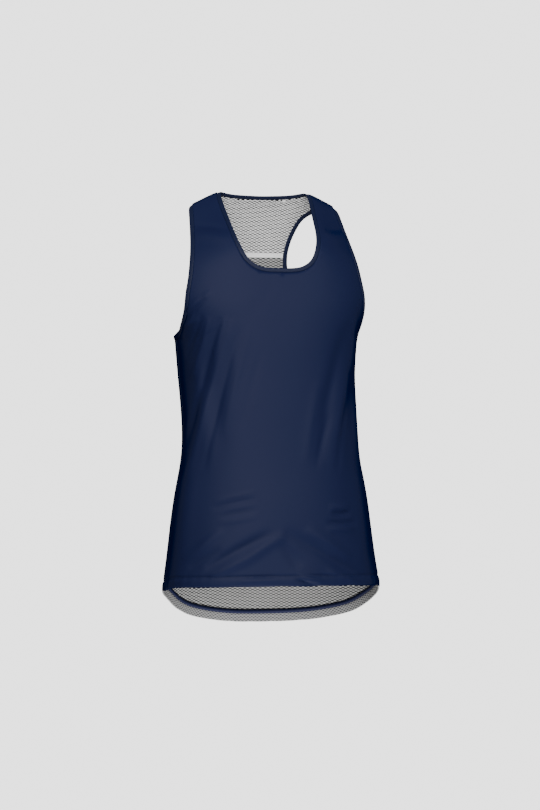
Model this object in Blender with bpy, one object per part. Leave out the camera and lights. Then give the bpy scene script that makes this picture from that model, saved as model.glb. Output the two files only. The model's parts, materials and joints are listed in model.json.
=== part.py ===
"""A racerback running singlet in its worn, hollow form.

The singlet is cut from five kinds of piece: a smooth front, a mesh lower back with a long
curved tail, a mesh yoke that makes the racerback, narrow bindings round the neck and both
armholes, and small tapes inside. All of them lie on one cloth surface. That surface is
lofted through sections of a general torso form, from the front hem up over the shoulder
ridge and down to the tail, so every panel, binding and tape is placed by two numbers:

  turn  the angle round the body, 0 at the centre line and 90 degrees at the side seam
  run   the distance along the centre profile from the shoulder ridge, positive down the
        front and negative down the back

The front faces -Y, +Z is up, and the wearer's left side is +X. The origin lies midway
between the two straps, at the height where the shoulders carry them.
"""

import math
from collections import namedtuple

import bmesh
import bpy
from mathutils import Vector

MM = 0.001

# Driving dimensions
WALL = 1.2 * MM                 # knitted cloth, with the air in its loops
SEAM_GAP = 0.65 * MM            # between pieces that are sewn together
SIDE_SEAM_GAP = 0.9 * MM        # between the front and the back at the side seams
TIP_ROOM = 0.2 * MM             # more room between the yoke and the armhole bindings
TAPE_GAP = 0.42 * MM            # between a tape and the cloth that it lies on
BINDING_WIDTH = 7.0 * MM
BINDING_THICKNESS = 2.4 * MM
HEM_DEPTH = 20.0 * MM           # how far the front and back hems are turned up
HEM_TAPE_WIDTH = 5.0 * MM
HEM_TAPE_BELOW_FOLD = 1.0 * MM  # the tape's top edge lies this far under the turn-up's edge
YOKE_TAPE_WIDTH = 7.5 * MM
TAPE_THICKNESS = 0.9 * MM
YOKE_SEAM_DROP = 108 * MM       # below the neck point of the shoulder
BACK_WAIST_DROP = 290 * MM      # where the lower back's rows begin to rise at the sides
SIDE_HEM_DROP = 677 * MM        # below the neck point, at the side seam
FRONT_HEM_RISE = 5 * MM         # the front hem is this much higher at its middle
NECK_POINT_ACROSS = 79 * MM
SHOULDER_SLOPE = 0.51           # fall of the shoulder for each unit outwards
SHOULDER_ROUNDING = 12 * MM     # eases the level neck into the sloping shoulder
LABEL_WIDTH = 9 * MM
LABEL_HEIGHT = 6 * MM
LABEL_ACROSS = 43 * MM          # from the centre back, towards the wearer's left
LABEL_DROP = 12 * MM
LABEL_GAP = 0.4 * MM            # below the neck binding
LABEL_DEPTH = 2.1 * MM          # below the outer face of the yoke

HALF_DEPTH = 105 * MM           # from a side seam to the middle of the front or the back

# The origin, measured in the form's own coordinates
RIDGE_BACK = 48 * MM
STRAP_MIDDLE_DROP = 15.1 * MM   # the underside of the straps, midway across them

# Mesh density
HALF_COLUMNS = 14
FRONT_LOWER_ROWS = 20
FRONT_UPPER_ROWS = 18
BACK_LOWER_ROWS = 16
BACK_UPPER_ROWS = 11
YOKE_ROWS = 14
YOKE_NECK_COLUMNS = 7
CHEST_ROW_SAG = 1.6             # keeps the row from the neck to the underarm below both curves
CURVE_SAMPLES = 160
LABEL_COLUMNS = 4
LABEL_ROWS = 3
LONGEST_RUN = 850 * MM          # past both hems, where a search for a drop may end
TURN_NUDGE = math.radians(0.3)  # the small steps that the surface's directions are read over
RUN_NUDGE = 0.8 * MM

# The section of a binding, as shares of its half width and half thickness
SectionCorner = namedtuple("SectionCorner", "across lift")
BINDING_SECTION = [
    SectionCorner(1, 0.4),
    SectionCorner(0.8, 1),
    SectionCorner(-0.76, 1),
    SectionCorner(-1, 0.35),
    SectionCorner(-1, -0.35),
    SectionCorner(-0.76, -1),
    SectionCorner(0.8, -1),
    SectionCorner(1, -0.4),
]

# Sections of the form in millimetres, from the front hem over the ridge to the tail:
# how far below the neck point, how far back the middle and the side lie, the half width,
# the squareness of the section, and the share of the shoulder slope that it follows.
Section = namedtuple("Section", "drop middle side half squareness slope")
FRONT_SECTIONS = [
    Section(700, -118, -2, 193, 2.2, 0),
    Section(668, -117, 0, 189, 2.2, 0),
    Section(620, -113, 2, 181.5, 2.2, 0),
    Section(575, -109, 3, 175.5, 2.2, 0),
    Section(530, -104, 3, 169.5, 2.2, 0),
    Section(495, -99, 3.5, 163, 2.25, 0),
    Section(460, -95, 4, 156, 2.3, 0),
    Section(420, -91, 7, 153, 2.35, 0),
    Section(370, -87, 18, 152.5, 2.4, 0),
    Section(310, -82, 34, 154, 2.5, 0),
    Section(260, -78, 37, 157.5, 2.6, 0),
    Section(225, -74, 33, 165, 2.7, 0.1),
    Section(190, -69, 31, 173.5, 2.8, 0.3),
    Section(155, -61, 32, 178.5, 2.8, 0.55),
    Section(125, -54, 34, 178, 2.8, 0.8),
    Section(100, -45, 36, 178, 2.8, 0.95),
    Section(78, -30, 38, 177, 2.8, 1),
    Section(58, -11, 40, 175, 2.8, 1),
    Section(40, 7, 42, 174, 2.7, 1),
    Section(22, 24, 44, 172, 2.6, 1),
    Section(9, 36.5, 46, 171, 2.5, 1),
    Section(2, 43, 47.5, 170, 2.5, 1),
]
RIDGE_SECTION = Section(0, 48, 48, 170, 2.5, 1)
BACK_SECTIONS = [
    Section(2, 53, 48.5, 170, 2.5, 1),
    Section(8, 60, 48, 170, 2.5, 1),
    Section(20, 69, 47, 170, 2.5, 1),
    Section(36, 78, 46, 171, 2.5, 1),
    Section(56, 87, 44, 172, 2.5, 1),
    Section(80, 96, 41, 173, 2.5, 0.95),
    Section(108, 104, 38, 174, 2.5, 0.8),
    Section(140, 111, 34, 173, 2.5, 0.55),
    Section(180, 118, 32, 168, 2.5, 0.3),
    Section(225, 122, 33, 165, 2.5, 0.1),
    Section(260, 122, 37, 157.5, 2.45, 0),
    Section(310, 118, 34, 154, 2.4, 0),
    Section(370, 108, 18, 152.5, 2.35, 0),
    Section(420, 101, 7, 153, 2.3, 0),
    Section(460, 100, 4, 156, 2.25, 0),
    Section(495, 104, 3.5, 163, 2.2, 0),
    Section(530, 110, 3, 169.5, 2.2, 0),
    Section(575, 116, 3, 175.5, 2.2, 0),
    Section(620, 119, 2, 181.5, 2.2, 0),
    Section(668, 121, 0, 189, 2.2, 0),
    Section(700, 122, -2, 193, 2.2, 0),
    Section(750, 123, -4, 195, 2.2, 0),
]

# The finished edges of the right and left halves. Each row is the distance across from the
# centre line, the drop below the neck point, both in millimetres, and which face it is on.
EdgePoint = namedtuple("EdgePoint", "across drop face")
FRONT, BACK = 1, -1
NECK_EDGE = [
    EdgePoint(0, 137, FRONT),
    EdgePoint(20, 136.8, FRONT),
    EdgePoint(38, 134, FRONT),
    EdgePoint(55.5, 122.5, FRONT),
    EdgePoint(66, 102, FRONT),
    EdgePoint(72.5, 78, FRONT),
    EdgePoint(76, 45, FRONT),
    EdgePoint(78.5, 18, FRONT),
    EdgePoint(76, 1.2, BACK),
    EdgePoint(60, 5.5, BACK),
    EdgePoint(35, 7.5, BACK),
    EdgePoint(0, 8.5, BACK),
]

# The armhole edge from the underarm up the front, over the shoulder tip and down the
# racerback to the underarm again. Here the first number is the turn in degrees.
TurnPoint = namedtuple("TurnPoint", "turn drop face")
ARMHOLE_EDGE = [
    TurnPoint(90, 250.5, FRONT),
    TurnPoint(81, 246.5, FRONT),
    TurnPoint(74, 235, FRONT),
    TurnPoint(65.8, 220, FRONT),
    TurnPoint(60.5, 206, FRONT),
    TurnPoint(57, 190, FRONT),
    TurnPoint(53.6, 165, FRONT),
    TurnPoint(51, 137, FRONT),
    TurnPoint(48.8, 108, FRONT),
    TurnPoint(47.5, 80, FRONT),
    TurnPoint(47.3, 55, FRONT),
    TurnPoint(47.5, 34, FRONT),
    TurnPoint(45.2, 28.8, BACK),
    TurnPoint(35.5, 33, BACK),
    TurnPoint(27.5, 46, BACK),
    TurnPoint(23.6, 66, BACK),
    TurnPoint(20.9, 90, BACK),
    TurnPoint(19.8, 115, BACK),
    TurnPoint(21.3, 142, BACK),
    TurnPoint(26.5, 172, BACK),
    TurnPoint(35, 203, BACK),
    TurnPoint(45.5, 229, BACK),
    TurnPoint(57.5, 245, BACK),
    TurnPoint(73, 251, BACK),
    TurnPoint(90, 250.5, BACK),
]

# How much lower than the side seams the back hem hangs, in millimetres, from the wearer's
# right to the left. The worn tail swings a little to the left.
TailPoint = namedtuple("TailPoint", "turn lower")
TAIL_EDGE = [
    TailPoint(-90, 0),
    TailPoint(-75, 8),
    TailPoint(-59, 24),
    TailPoint(-37, 52),
    TailPoint(-15, 65.5),
    TailPoint(7, 68.5),
    TailPoint(30, 65.5),
    TailPoint(49, 56),
    TailPoint(63, 44.5),
    TailPoint(77, 26),
    TailPoint(90, 0),
]

# Soft folds of the worn cloth: two ends, each with a turn in degrees (negative on the
# wearer's right) and a drop in millimetres, then the half breadth and the height of the
# fold in millimetres. A negative height is a trough.
Fold = namedtuple("Fold", "turn_a drop_a turn_b drop_b breadth height")
FRONT_FOLDS = [
    Fold(-62, 270, -50, 480, 13, 3.0),
    Fold(-50, 280, -40, 470, 10, -2.6),
    Fold(-38, 330, -34, 520, 11, 1.6),
    Fold(-76, 262, -52, 238, 9, -2.2),
    Fold(70, 262, 50, 236, 9, -2.0),
    Fold(58, 300, 44, 470, 14, -2.6),
    Fold(44, 290, 32, 500, 15, 1.8),
    Fold(66, 330, 62, 500, 10, 2.0),
    Fold(-58, 640, -12, 570, 14, 2.2),
    Fold(58, 640, 22, 560, 14, 2.4),
    Fold(4, 655, 10, 585, 22, -2.6),
    Fold(42, 540, 72, 545, 6, -1.6),
    Fold(44, 560, 74, 566, 6, -1.4),
]
BACK_FOLDS = [
    Fold(-60, 285, -34, 450, 14, 2.6),
    Fold(60, 285, 36, 455, 14, 2.6),
    Fold(-44, 300, -22, 440, 12, -2.2),
    Fold(46, 300, 20, 430, 12, -2.2),
    Fold(-50, 470, 50, 476, 12, -2.4),
    Fold(-36, 500, 30, 508, 11, 1.8),
    Fold(-14, 560, -22, 700, 16, 2.0),
    Fold(24, 570, 30, 700, 18, -2.0),
]

NAVY = (0.018, 0.030, 0.080, 1)
MESH_NAVY = (0.022, 0.034, 0.085, 1)
BINDING_NAVY = (0.012, 0.020, 0.060, 1)
TAPE_WHITE = (0.72, 0.72, 0.72, 1)


# ---- The cloth surface


def section_runs():
    """Each section with its run, in order from the tail to the front hem."""
    ordered = FRONT_SECTIONS + [RIDGE_SECTION] + BACK_SECTIONS
    run = [0.0]
    for a, b in zip(ordered, ordered[1:]):
        run.append(run[-1] + math.hypot(a.drop - b.drop, a.middle - b.middle) * MM)
    ridge_run = run[len(FRONT_SECTIONS)]
    pairs = [(ridge_run - r, s) for r, s in zip(run, ordered)]
    return sorted(pairs, key=lambda pair: pair[0])


SECTION_RUNS = section_runs()


def section_slope(index, column):
    """The change of one column at a section for each metre of run."""
    last = len(SECTION_RUNS) - 1

    def step(i):
        run_a, a = SECTION_RUNS[i]
        run_b, b = SECTION_RUNS[i + 1]
        return (b[column] - a[column]) / (run_b - run_a), run_b - run_a

    if index == 0:
        return step(0)[0]
    if index == last:
        return step(last - 1)[0]
    before, before_length = step(index - 1)
    after, after_length = step(index)
    return (before * after_length + after * before_length) / (before_length + after_length)


def section_at(run):
    """The section at any run, on a smooth curve through the table."""
    index = 0
    while index < len(SECTION_RUNS) - 2 and SECTION_RUNS[index + 1][0] < run:
        index += 1
    run_a, a = SECTION_RUNS[index]
    run_b, b = SECTION_RUNS[index + 1]
    length = run_b - run_a
    t = (run - run_a) / length
    values = []
    for column in range(len(a)):
        leave = section_slope(index, column) * length
        arrive = section_slope(index + 1, column) * length
        values.append(
            (2 * t**3 - 3 * t**2 + 1) * a[column]
            + (t**3 - 2 * t**2 + t) * leave
            + (3 * t**2 - 2 * t**3) * b[column]
            + (t**3 - t**2) * arrive
        )
    return Section(*values)


def shoulder_fall(across):
    """How far the shoulder has fallen at a distance from the centre line."""

    def eased(x):
        past = abs(x) - NECK_POINT_ACROSS
        return SHOULDER_SLOPE * (math.hypot(past, SHOULDER_ROUNDING) + past) / 2

    return eased(across) - eased(0)


def form_point(turn, run):
    """A point of the smooth form, before its folds, with the neck point at drop 0."""
    section = section_at(run)
    sine, cosine = math.sin(turn), math.cos(turn)
    power = section.squareness
    reach = (abs(sine) ** power + abs(cosine) ** power) ** (-1 / power)
    across = section.half * MM * reach * sine
    depth = (section.side + (section.middle - section.side) * reach * cosine) * MM
    drop = section.drop * MM + section.slope * shoulder_fall(across)
    return Vector((across, depth - RIDGE_BACK, STRAP_MIDDLE_DROP - drop))


def drop_of(point):
    return STRAP_MIDDLE_DROP - point.z


def fold_height(turn, run, point):
    """How far the folds lift the cloth off the smooth form."""
    drop = drop_of(point)
    half = section_at(run).half * MM
    height = 0.0
    for fold in FRONT_FOLDS if run > 0 else BACK_FOLDS:
        start = Vector((math.radians(fold.turn_a) * half, fold.drop_a * MM))
        end = Vector((math.radians(fold.turn_b) * half, fold.drop_b * MM))
        here = Vector((turn * half, drop))
        along = (here - start).dot(end - start) / (end - start).length_squared
        nearest = start + (end - start) * min(1, max(0, along))
        away = (here - nearest).length / (fold.breadth * MM)
        taper = math.sin(math.pi * min(1, max(0, along))) ** 0.7
        height += fold.height * MM * math.exp(-away * away) * taper
    return height


def smooth_normal(turn, run):
    """The outward direction of the smooth form, and its two tangents."""
    along_turn = form_point(turn + TURN_NUDGE, run) - form_point(turn - TURN_NUDGE, run)
    along_run = form_point(turn, run + RUN_NUDGE) - form_point(turn, run - RUN_NUDGE)
    along_turn /= 2 * TURN_NUDGE
    along_run /= 2 * RUN_NUDGE
    return along_run.cross(along_turn).normalized(), along_turn, along_run


def cloth_point(turn, run):
    """A point of the outer face of the cloth, folds included."""
    point = form_point(turn, run)
    return point + smooth_normal(turn, run)[0] * fold_height(turn, run, point)


def cloth_normal(turn, run):
    """The outward direction of the cloth, folds included."""
    along_turn = cloth_point(turn + TURN_NUDGE, run) - cloth_point(turn - TURN_NUDGE, run)
    along_run = cloth_point(turn, run + RUN_NUDGE) - cloth_point(turn, run - RUN_NUDGE)
    return along_run.cross(along_turn).normalized()


def solve(function, target, low, high, steps=40):
    """The place between low and high where a rising function reaches a target."""
    for _ in range(steps):
        middle = (low + high) / 2
        if function(middle) < target:
            low = middle
        else:
            high = middle
    return (low + high) / 2


def run_at_drop(turn, drop, face):
    """The run where the smooth form has fallen by a drop, on the front or the back."""
    return face * solve(
        lambda run: drop_of(form_point(turn, face * run)), drop, 0.0, LONGEST_RUN
    )


def place(point):
    """The turn and run of a row of an edge table."""
    drop = point.drop * MM
    if isinstance(point, TurnPoint):
        turn = math.radians(point.turn)
        return Vector((turn, run_at_drop(turn, drop, point.face)))
    across = point.across * MM
    turn = solve(
        lambda t: form_point(t, run_at_drop(t, drop, point.face)).x,
        across,
        0.0,
        math.pi / 2,
        steps=24,
    )
    if across == 0:
        turn = 0.0
    return Vector((turn, run_at_drop(turn, drop, point.face)))


# ---- Edges


def smooth_through(points, samples):
    """A Catmull-Rom curve through points of the turn and run plane."""
    points = [points[0] * 2 - points[1]] + points + [points[-1] * 2 - points[-2]]
    curve = []
    spans = len(points) - 3
    for k in range(samples + 1):
        place_on = min(k / samples * spans, spans - 1e-9)
        i = int(place_on)
        t = place_on - i
        a, b, c, d = points[i : i + 4]
        curve.append(
            (
                b * 2
                + (c - a) * t
                + (a * 2 - b * 5 + c * 4 - d) * t**2
                + (b * 3 - a - c * 3 + d) * t**3
            )
            / 2
        )
    return curve


def inset(curve, distance, first_ahead, last_ahead):
    """The curve moved across the cloth by a distance, to its right when it is positive.

    first_ahead and last_ahead are its directions in space at its two ends.
    """
    points = [form_point(*p) for p in curve]
    last = len(curve) - 1
    moved = []
    for k, (turn, run) in enumerate(curve):
        if k == 0:
            ahead = Vector(first_ahead)
        elif k == last:
            ahead = Vector(last_ahead)
        else:
            ahead = (points[k + 1] - points[k - 1]).normalized()
        normal, along_turn, along_run = smooth_normal(turn, run)
        step = ahead.cross(normal).normalized() * distance
        turn_turn, run_run = along_turn.length_squared, along_run.length_squared
        turn_run = along_turn.dot(along_run)
        turn_step, run_step = along_turn.dot(step), along_run.dot(step)
        scale = turn_turn * run_run - turn_run * turn_run
        more_turn = (turn_step * run_run - run_step * turn_run) / scale
        more_run = (run_step * turn_turn - turn_step * turn_run) / scale
        moved.append(Vector((turn + more_turn, run + more_run)))
    return moved


def along(curve, count_on):
    """The point of a curve at a place counted in its samples, which may be a fraction."""
    i = min(int(count_on), len(curve) - 2)
    return curve[i].lerp(curve[i + 1], count_on - i)


def crossing(curve, run):
    """The place on a curve where it crosses a run."""
    for i, (a, b) in enumerate(zip(curve, curve[1:])):
        if (a.y - run) * (b.y - run) <= 0:
            return i + (run - a.y) / (b.y - a.y)
    raise ValueError("the edge doesn't cross that run")


def even_stations(curve, start, end, count):
    """Places from start to end that are equally far apart along the cloth."""
    fine = 8 * count
    places = [start + (end - start) * k / fine for k in range(fine + 1)]
    points = [form_point(*along(curve, p)) for p in places]
    length = [0.0]
    for a, b in zip(points, points[1:]):
        length.append(length[-1] + (b - a).length)
    stations, i = [], 0
    for k in range(count + 1):
        goal = length[-1] * k / count
        while i < fine - 1 and length[i + 1] < goal:
            i += 1
        t = (goal - length[i]) / (length[i + 1] - length[i])
        stations.append(places[i] + (places[i + 1] - places[i]) * t)
    return stations


BoundEdge = namedtuple("BoundEdge", "outer inner panels")


def bound_edge(rows, side, first_ahead, last_ahead, seams, counts):
    """A bound edge: the binding's two rails, and the edge of each panel that meets it.

    side is 1 where the cloth lies to the right of the edge and -1 to the left. seams are
    the runs where one panel ends and the next begins, and counts are each panel's steps.
    """
    outline = smooth_through([place(row) for row in rows], CURVE_SAMPLES)
    width = side * BINDING_WIDTH
    inner = inset(outline, width, first_ahead, last_ahead)
    panel = inset(outline, width + side * SEAM_GAP, first_ahead, last_ahead)
    cuts = [0] + [crossing(panel, run) for run in seams] + [CURVE_SAMPLES]
    stations, panels = [], []
    for start, end, count in zip(cuts, cuts[1:], counts):
        part = even_stations(panel, start, end, count)
        panels.append([along(panel, p) for p in part])
        stations += part if not stations else part[1:]
    for before, after, run in zip(panels, panels[1:], seams):
        before[-1].y = run + SEAM_GAP / 2
        after[0].y = run - SEAM_GAP / 2
    outer_rail = [along(outline, p) for p in stations]
    inner_rail = [along(inner, p) for p in stations]
    return BoundEdge(outer_rail, inner_rail, panels)


# ---- Walls


def coons(bottom, top, left, right):
    """A grid of turn and run inside four edges, which are lists of equal length in pairs."""
    columns, rows = len(bottom) - 1, len(left) - 1
    grid = []
    for j in range(rows + 1):
        t = j / rows
        line = []
        for i in range(columns + 1):
            s = i / columns
            across = bottom[i] * (1 - t) + top[i] * t
            up = left[j] * (1 - s) + right[j] * s
            corners = (bottom[0] * (1 - s) + bottom[-1] * s) * (1 - t)
            corners += (top[0] * (1 - s) + top[-1] * s) * t
            line.append(across + up - corners)
        grid.append(line)
    grid[0], grid[-1] = bottom, top
    return grid


def straight(a, b, count):
    return [a.lerp(b, k / count) for k in range(count + 1)]


def mirrored(line):
    """A row from the centre line to the left side, made into a row from side to side."""
    other = [Vector((-p.x, p.y)) for p in reversed(line)]
    return other[:-1] + line


class Wall:
    """A closed wall of cloth, made from rows of turn and run."""

    def __init__(self):
        self.places = []
        self.inner_depth = []
        self.cells = []
        self.known = {}

    def point(self, place_on, depth):
        key = (round(place_on.x, 6), round(place_on.y, 6))
        if key not in self.known:
            self.known[key] = len(self.places)
            self.places.append(place_on)
            self.inner_depth.append(depth)
        return self.known[key]

    def add_rows(self, rows, depths):
        for (low, high), (low_depth, high_depth) in zip(
            zip(rows, rows[1:]), zip(depths, depths[1:])
        ):
            for i in range(len(low) - 1):
                corners = [
                    self.point(low[i], low_depth),
                    self.point(low[i + 1], low_depth),
                    self.point(high[i + 1], high_depth),
                    self.point(high[i], high_depth),
                ]
                self.cells.append(list(dict.fromkeys(corners)))

    def build(self, name, material, outer_depth=0.0):
        mesh = bmesh.new()
        outer, inner = [], []
        for (turn, run), depth in zip(self.places, self.inner_depth):
            point, normal = cloth_point(turn, run), cloth_normal(turn, run)
            outer.append(mesh.verts.new(point - normal * outer_depth))
            inner.append(mesh.verts.new(point - normal * depth))
        for cell in self.cells:
            mesh.faces.new([outer[i] for i in cell])
            mesh.faces.new([inner[i] for i in reversed(cell)])
        rim = {}
        for cell in self.cells:
            for a, b in zip(cell, cell[1:] + cell[:1]):
                rim[(a, b)] = rim.get((a, b), 0) + 1
        for a, b in [edge for edge in rim if (edge[1], edge[0]) not in rim]:
            mesh.faces.new([outer[b], outer[a], inner[a], inner[b]])
        bmesh.ops.recalc_face_normals(mesh, faces=mesh.faces)
        return finish_object(mesh, name, material)


def finish_object(mesh, name, material):
    data = bpy.data.meshes.new(name)
    mesh.to_mesh(data)
    mesh.free()
    data.shade_smooth()
    data.set_sharp_from_angle(angle=math.radians(40))
    data.materials.append(material)
    made = bpy.data.objects.new(name, data)
    bpy.context.scene.collection.objects.link(made)
    return made


def cloth_material(name, colour, roughness):
    material = bpy.data.materials.new(name)
    material.use_nodes = True
    shader = material.node_tree.nodes["Principled BSDF"]
    shader.inputs["Base Color"].default_value = colour
    shader.inputs["Roughness"].default_value = roughness
    shader.inputs["Metallic"].default_value = 0.0
    return material


# ---- The pieces

SIDE_TURN = math.pi / 2 - SIDE_SEAM_GAP / 2 / HALF_DEPTH


TAIL_CURVE = smooth_through(
    [Vector((math.radians(p.turn), p.lower * MM)) for p in TAIL_EDGE], CURVE_SAMPLES
)


def tail_lower(turn):
    """How much lower than the side seams the back hem hangs at a turn."""
    for a, b in zip(TAIL_CURVE, TAIL_CURVE[1:]):
        if a.x <= turn <= b.x:
            return a.y + (b.y - a.y) * (turn - a.x) / (b.x - a.x)
    return 0.0


def hem_run(turn, face, height):
    """The run of a hem at a turn, or of a line a given height above it."""
    if face == FRONT:
        lower = -FRONT_HEM_RISE * math.cos(turn)
    else:
        lower = tail_lower(turn)
    drop = SIDE_HEM_DROP + lower - height
    return run_at_drop(turn, drop, face)


def hem_row(face, height):
    """A row from side to side, at a height above the hem."""
    turns = [SIDE_TURN * i / HALF_COLUMNS for i in range(-HALF_COLUMNS, HALF_COLUMNS + 1)]
    return [Vector((turn, hem_run(turn, face, height))) for turn in turns]


def lower_rows(face, top_row, rows):
    """Rows from the hem up to top_row: three for the turned-up hem, then even ones."""
    fold_edge = hem_row(face, HEM_DEPTH)
    above = hem_row(face, HEM_DEPTH + 1 * MM)
    lines = [hem_row(face, 0.0), hem_row(face, HEM_DEPTH / 2), fold_edge, above]
    depths = [2 * WALL, 2 * WALL, 2 * WALL, WALL]
    for j in range(1, rows + 1):
        lines.append([a.lerp(b, j / rows) for a, b in zip(above, top_row)])
        depths.append(WALL)
    return lines, depths


def both_halves(grid):
    """The rows of one half and, as rows of their own, those of its mirror image."""
    mirror = [[Vector((-p.x, p.y)) for p in reversed(line)] for line in grid]
    return grid, mirror


def front_panel(neck_edge, arm_edge, material):
    """From the hem to a row that dips from the neck to the underarms, then two straps."""
    chest = []
    for i in range(HALF_COLUMNS + 1):
        s = i / HALF_COLUMNS
        dip = s + CHEST_ROW_SAG * s * (1 - s)
        chest.append(Vector((SIDE_TURN * s, neck_edge[0].y * (1 - dip) + arm_edge[0].y * dip)))
    neck_edge[0], arm_edge[0] = chest[0], chest[-1]
    top = straight(neck_edge[-1], arm_edge[-1], HALF_COLUMNS)
    strap = coons(chest, top, neck_edge, arm_edge)
    lines, depths = lower_rows(FRONT, mirrored(chest), FRONT_LOWER_ROWS)
    wall = Wall()
    wall.add_rows(lines, depths)
    for rows in both_halves(strap):
        wall.add_rows(rows, [WALL] * len(rows))
    return wall.build("front_panel", material)


def back_panel(arm_edge, material):
    """From the tail up to the yoke seam, with the racerback's curve above the underarms."""
    arm_edge = list(reversed(arm_edge))
    arm_edge[0].x = SIDE_TURN
    seam = arm_edge[-1].y
    low = run_at_drop(0.0, BACK_WAIST_DROP, BACK)
    middle = []
    for i in range(HALF_COLUMNS + 1):
        s = i / HALF_COLUMNS
        middle.append(Vector((SIDE_TURN * s, low * (1 - s) + arm_edge[0].y * s)))
    top = straight(Vector((0.0, seam)), arm_edge[-1], HALF_COLUMNS)
    centre = straight(middle[0], top[0], BACK_UPPER_ROWS)
    upper = coons(middle, top, centre, arm_edge)
    lines, depths = lower_rows(BACK, mirrored(middle), BACK_LOWER_ROWS)
    rows = lines + [mirrored(line) for line in upper[1:]]
    wall = Wall()
    wall.add_rows(rows, depths + [WALL] * BACK_UPPER_ROWS)
    return wall.build("back_panel", material)


def back_yoke(neck_edge, arm_edge, material):
    """From the yoke seam up to the back of the neck and the two shoulder seams."""
    arm_edge, neck_edge = list(reversed(arm_edge)), list(reversed(neck_edge))
    arm_edge = [Vector((p.x - TIP_ROOM / HALF_DEPTH, p.y)) for p in arm_edge]
    seam = Vector((0.0, arm_edge[0].y))
    neck_edge[0].x = 0.0
    shoulder_columns = HALF_COLUMNS - YOKE_NECK_COLUMNS
    top = neck_edge + straight(neck_edge[-1], arm_edge[-1], shoulder_columns)[1:]
    bottom = straight(seam, arm_edge[0], HALF_COLUMNS)
    rows = coons(bottom, top, straight(seam, top[0], YOKE_ROWS), arm_edge)
    wall = Wall()
    wall.add_rows([mirrored(line) for line in rows], [WALL] * len(rows))
    return wall.build("back_yoke", material)


def binding(name, outer, inner, material):
    """A folded strip round an opening, between two closed rails on the cloth."""
    mesh = bmesh.new()
    rings = []
    for (turn_a, run_a), (turn_b, run_b) in zip(outer, inner):
        a, b = cloth_point(turn_a, run_a), cloth_point(turn_b, run_b)
        normal = (cloth_normal(turn_a, run_a) + cloth_normal(turn_b, run_b)).normalized()
        centre = (a + b) / 2 - normal * WALL / 2
        half_width, half_thick = (b - a) / 2, normal * BINDING_THICKNESS / 2
        rings.append(
            [mesh.verts.new(centre + half_width * u + half_thick * v) for u, v in BINDING_SECTION]
        )
    sides = len(BINDING_SECTION)
    for low, high in zip(rings, rings[1:] + rings[:1]):
        for k in range(sides):
            n = (k + 1) % sides
            mesh.faces.new([low[k], low[n], high[n], high[k]])
    bmesh.ops.recalc_face_normals(mesh, faces=mesh.faces)
    return finish_object(mesh, name, material)


def inner_strip(name, rows, near, material):
    """A flat tape inside the cloth, its near face a given depth below the outer face."""
    wall = Wall()
    wall.add_rows(rows, [near + TAPE_THICKNESS] * len(rows))
    return wall.build(name, material, outer_depth=near)


def yoke_seam_tape(yoke_end, material):
    """The white tape that covers the seam between the yoke and the lower back."""
    half = YOKE_TAPE_WIDTH / 2
    rows = []
    for offset in (-half, 0.0, half):
        end = Vector((yoke_end.x, yoke_end.y + offset))
        rows.append(mirrored(straight(Vector((0.0, end.y)), end, HALF_COLUMNS)))
    return inner_strip("yoke_seam_tape", rows, WALL + TAPE_GAP, material)


def back_hem_tape(material):
    top = HEM_DEPTH - HEM_TAPE_BELOW_FOLD
    rows = [hem_row(BACK, top - HEM_TAPE_WIDTH), hem_row(BACK, top)]
    return inner_strip("back_hem_tape", rows, 2 * WALL + TAPE_GAP, material)


def neck_label(neck_inner, material):
    """A small blank label that hangs inside the yoke from the edge of the neck binding."""
    middle = place(EdgePoint(LABEL_ACROSS / MM, LABEL_DROP / MM, BACK)).x
    half = LABEL_WIDTH / 2 / (form_point(middle, 0).x / middle)
    behind = [p for p in neck_inner if p.y < 0]
    top = min(behind, key=lambda p: abs(p.x - middle)).y - LABEL_GAP
    rows = []
    for k in range(LABEL_ROWS + 1):
        run = top - LABEL_HEIGHT * k / LABEL_ROWS
        rows.append(straight(Vector((middle - half, run)), Vector((middle + half, run)), LABEL_COLUMNS))
    return inner_strip("neck_label", rows, LABEL_DEPTH, material)


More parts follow.
